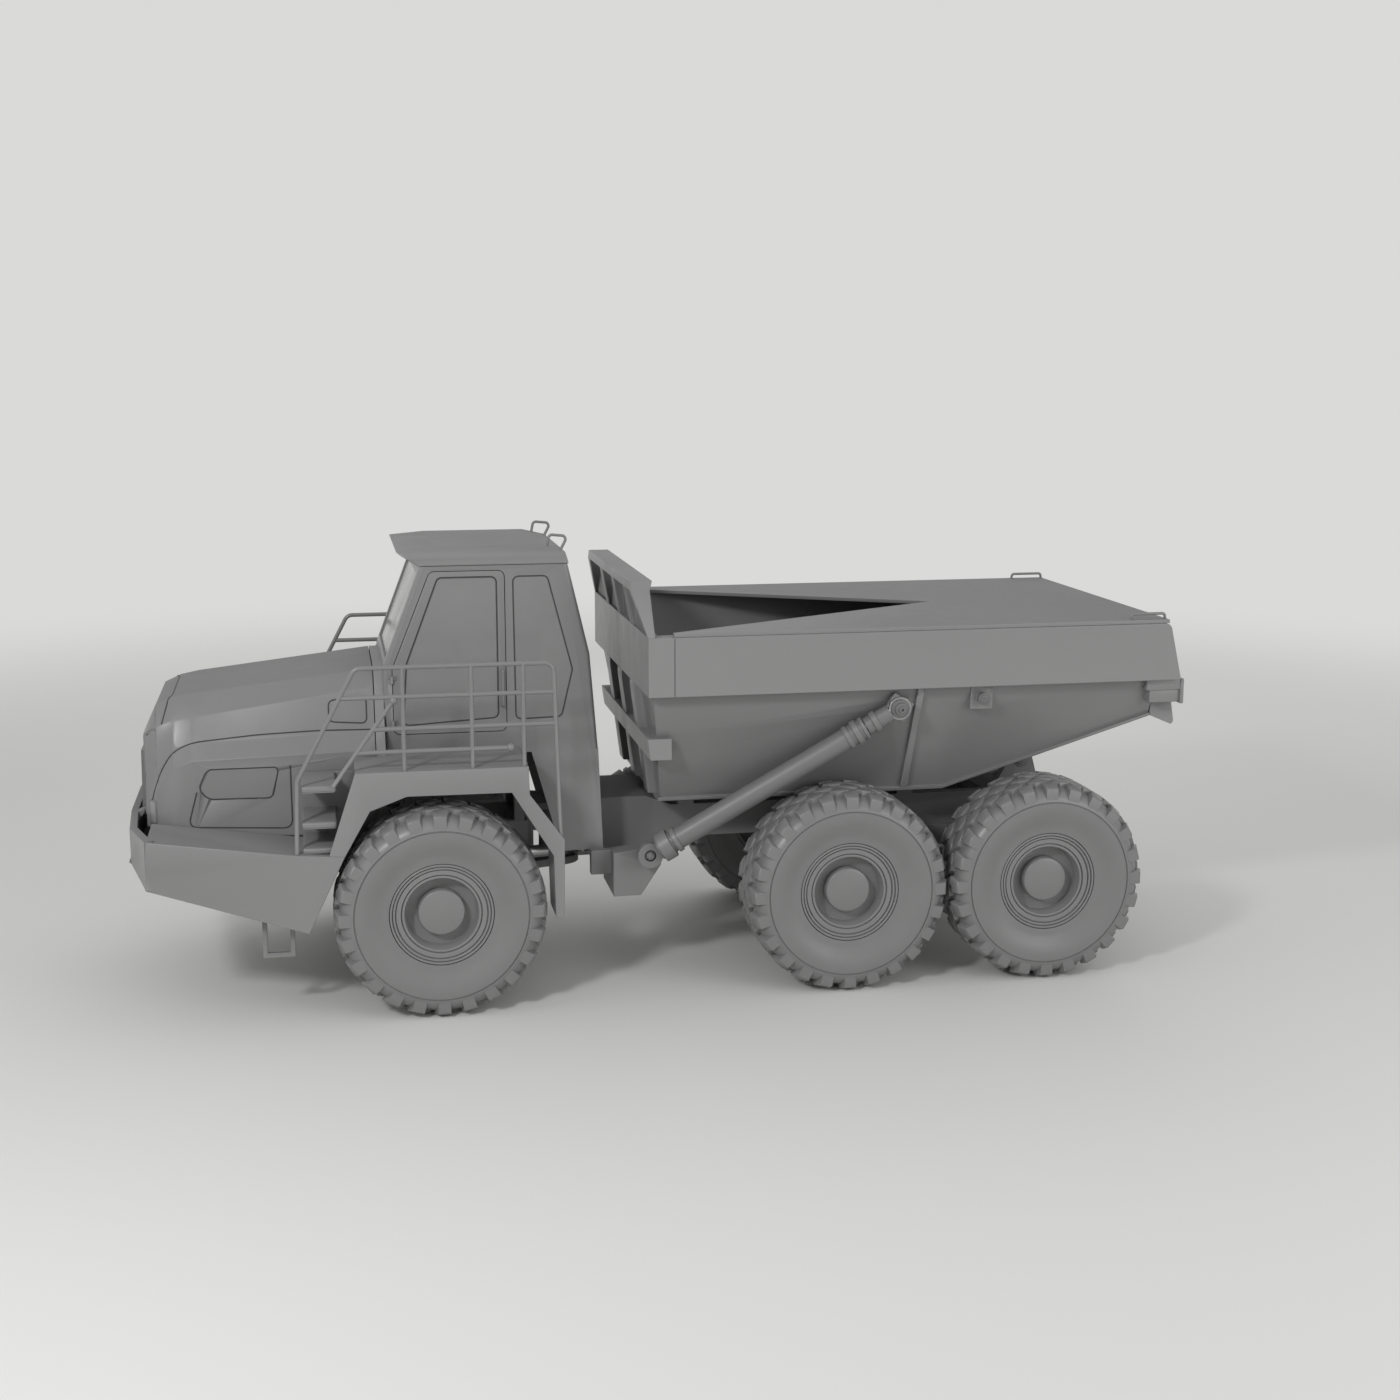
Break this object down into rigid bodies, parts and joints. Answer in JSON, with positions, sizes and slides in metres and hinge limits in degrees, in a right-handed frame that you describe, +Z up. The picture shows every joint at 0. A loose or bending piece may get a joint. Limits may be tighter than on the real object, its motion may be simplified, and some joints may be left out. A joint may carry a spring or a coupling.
{
  "type": "articulated dump truck",
  "caption": "Articulated six wheel dump truck with tilting hood, railed decks, glazed cab, centre hitch, bogie axles and a tipping body raised by hoist cylinders.",
  "frame": {"origin": "on the ground under the middle of the truck's overall box", "axes": "+X forward, +Y to the truck's left, +Z up"},
  "size_m": [9.08, 3.448, 3.9097],
  "materials": {
    "paint": "satin grey industrial enamel",
    "frame_paint": "satin grey chassis enamel",
    "machined": "grey cylinder steel",
    "tyre_rubber": "grey matt tread rubber",
    "rim_paint": "satin grey wheel enamel",
    "cast": "painted grey casting",
    "trim": "grey moulded plastic",
    "seat_cloth": "grey woven seat cloth",
    "glass": "tinted flat glass"
  },
  "bodies": {
    "front": {"front_frame": "frame_paint", "steer_brackets": "frame_paint", "front_bumper": "paint", "front_axle": "cast", "engine": "cast", "fenders": "paint", "handrails": "paint", "cab_shell": "paint", "cab_glass": "glass", "cab_roof": "paint", "seat": "seat_cloth", "console": "trim"},
    "hood": {"hood": "paint", "grille": "trim"},
    "door_left": {"door_left": "paint", "door_glass_left": "glass"},
    "door_right": {"door_right": "paint", "door_glass_right": "glass"},
    "steer_barrel_left": {"steer_barrel_left": "machined"},
    "steer_rod_left": {"steer_rod_left": "machined"},
    "steer_barrel_right": {"steer_barrel_right": "machined"},
    "steer_rod_right": {"steer_rod_right": "machined"},
    "hitch": {"hitch_block": "frame_paint"},
    "rear": {"rear_frame": "frame_paint", "hoist_arms": "frame_paint", "rear_axles": "cast", "bogie_beams": "cast"},
    "dump_body": {"body_shell": "paint", "body_rails": "paint", "body_cover": "paint", "headboard": "paint"},
    "hoist_barrel_left": {"hoist_barrel_left": "machined"},
    "hoist_rod_left": {"hoist_rod_left": "machined"},
    "hoist_barrel_right": {"hoist_barrel_right": "machined"},
    "hoist_rod_right": {"hoist_rod_right": "machined"},
    "wheel_front_left": {"tyre_front_left": "tyre_rubber", "rim_front_left": "rim_paint"},
    "wheel_front_right": {"tyre_front_right": "tyre_rubber", "rim_front_right": "rim_paint"},
    "wheel_mid_left": {"tyre_mid_left": "tyre_rubber", "rim_mid_left": "rim_paint"},
    "wheel_mid_right": {"tyre_mid_right": "tyre_rubber", "rim_mid_right": "rim_paint"},
    "wheel_rear_left": {"tyre_rear_left": "tyre_rubber", "rim_rear_left": "rim_paint"},
    "wheel_rear_right": {"tyre_rear_right": "tyre_rubber", "rim_rear_right": "rim_paint"}
  },
  "joints": [
    {"name": "articulation", "type": "hinge", "parent": "front", "child": "hitch", "pos_m": [0.85, 0, 1.15], "axis": [0, 0, 1], "range_deg": [-27, 27]},
    {"name": "oscillation", "type": "hinge", "parent": "hitch", "child": "rear", "pos_m": [0.55, 0, 1.15], "axis": [-1, 0, 0], "range_deg": [-10, 10]},
    {"name": "bed_tilt", "type": "hinge", "parent": "rear", "child": "dump_body", "pos_m": [-3.45, 0, 1.72], "axis": [0, -1, 0], "range_deg": [0, 70]},
    {"name": "hood_tilt", "type": "hinge", "parent": "front", "child": "hood", "pos_m": [4.44, 0, 1.6], "axis": [0, 1, 0], "range_deg": [0, 60]},
    {"name": "door_left", "type": "hinge", "parent": "front", "child": "door_left", "pos_m": [2.324, 0.818, 2.9], "axis": [0, 0, -1], "range_deg": [0, 48]},
    {"name": "door_right", "type": "hinge", "parent": "front", "child": "door_right", "pos_m": [2.324, -0.818, 2.9], "axis": [0, 0, 1], "range_deg": [0, 48]},
    {"name": "wheel_front_left", "type": "hinge", "parent": "front", "child": "wheel_front_left", "pos_m": [2, 1.394, 0.88], "axis": [0, 1, 0], "continuous": true},
    {"name": "wheel_front_right", "type": "hinge", "parent": "front", "child": "wheel_front_right", "pos_m": [2, -1.394, 0.88], "axis": [0, 1, 0], "continuous": true},
    {"name": "wheel_mid_left", "type": "hinge", "parent": "rear", "child": "wheel_mid_left", "pos_m": [-1.48, 1.394, 0.88], "axis": [0, 1, 0], "continuous": true},
    {"name": "wheel_mid_right", "type": "hinge", "parent": "rear", "child": "wheel_mid_right", "pos_m": [-1.48, -1.394, 0.88], "axis": [0, 1, 0], "continuous": true},
    {"name": "wheel_rear_left", "type": "hinge", "parent": "rear", "child": "wheel_rear_left", "pos_m": [-3.27, 1.394, 0.88], "axis": [0, 1, 0], "continuous": true},
    {"name": "wheel_rear_right", "type": "hinge", "parent": "rear", "child": "wheel_rear_right", "pos_m": [-3.27, -1.394, 0.88], "axis": [0, 1, 0], "continuous": true},
    {"name": "steer_pivot_left", "type": "hinge", "parent": "front", "child": "steer_barrel_left", "pos_m": [1.56, 0.59, 1.07], "axis": [0, 0, 1], "range_deg": [-2.63, 2.63]},
    {"name": "steer_slide_left", "type": "slide", "parent": "steer_barrel_left", "child": "steer_rod_left", "axis": [-0.9784, -0.2066, 0], "range_m": [-0.1995, 0.1995]},
    {"name": "steer_pivot_right", "type": "hinge", "parent": "front", "child": "steer_barrel_right", "pos_m": [1.56, -0.59, 1.07], "axis": [0, 0, 1], "range_deg": [-2.63, 2.63]},
    {"name": "steer_slide_right", "type": "slide", "parent": "steer_barrel_right", "child": "steer_rod_right", "axis": [-0.9784, 0.2066, 0], "range_m": [-0.1995, 0.1995]},
    {"name": "hoist_pivot_left", "type": "hinge", "parent": "rear", "child": "hoist_barrel_left", "pos_m": [0.182, 1.2, 1.174], "axis": [0.4795, -0.2177, 0.8501], "range_deg": [-0.1, 3.2]},
    {"name": "hoist_slide_left", "type": "slide", "parent": "hoist_barrel_left", "child": "hoist_rod_left", "axis": [-0.8511, 0.1206, 0.511], "range_m": [-0.001, 1.9204]},
    {"name": "hoist_pivot_right", "type": "hinge", "parent": "rear", "child": "hoist_barrel_right", "pos_m": [0.182, -1.2, 1.174], "axis": [-0.4795, -0.2177, -0.8501], "range_deg": [-0.1, 3.2]},
    {"name": "hoist_slide_right", "type": "slide", "parent": "hoist_barrel_right", "child": "hoist_rod_right", "axis": [-0.8511, -0.1206, 0.511], "range_m": [-0.001, 1.9204]}
  ],
  "couplings": [
    {"joint": "steer_pivot_left", "follows": "articulation", "ratio": 0.0899},
    {"joint": "steer_slide_left", "follows": "articulation", "m_per_rad": 0.4191},
    {"joint": "steer_pivot_right", "follows": "articulation", "ratio": 0.0899},
    {"joint": "steer_slide_right", "follows": "articulation", "m_per_rad": -0.4191},
    {"joint": "hoist_pivot_left", "follows": "bed_tilt", "ratio": 0.04425},
    {"joint": "hoist_slide_left", "follows": "bed_tilt", "m_per_rad": 1.5702},
    {"joint": "hoist_pivot_right", "follows": "bed_tilt", "ratio": 0.04425},
    {"joint": "hoist_slide_right", "follows": "bed_tilt", "m_per_rad": 1.5702}
  ]
}
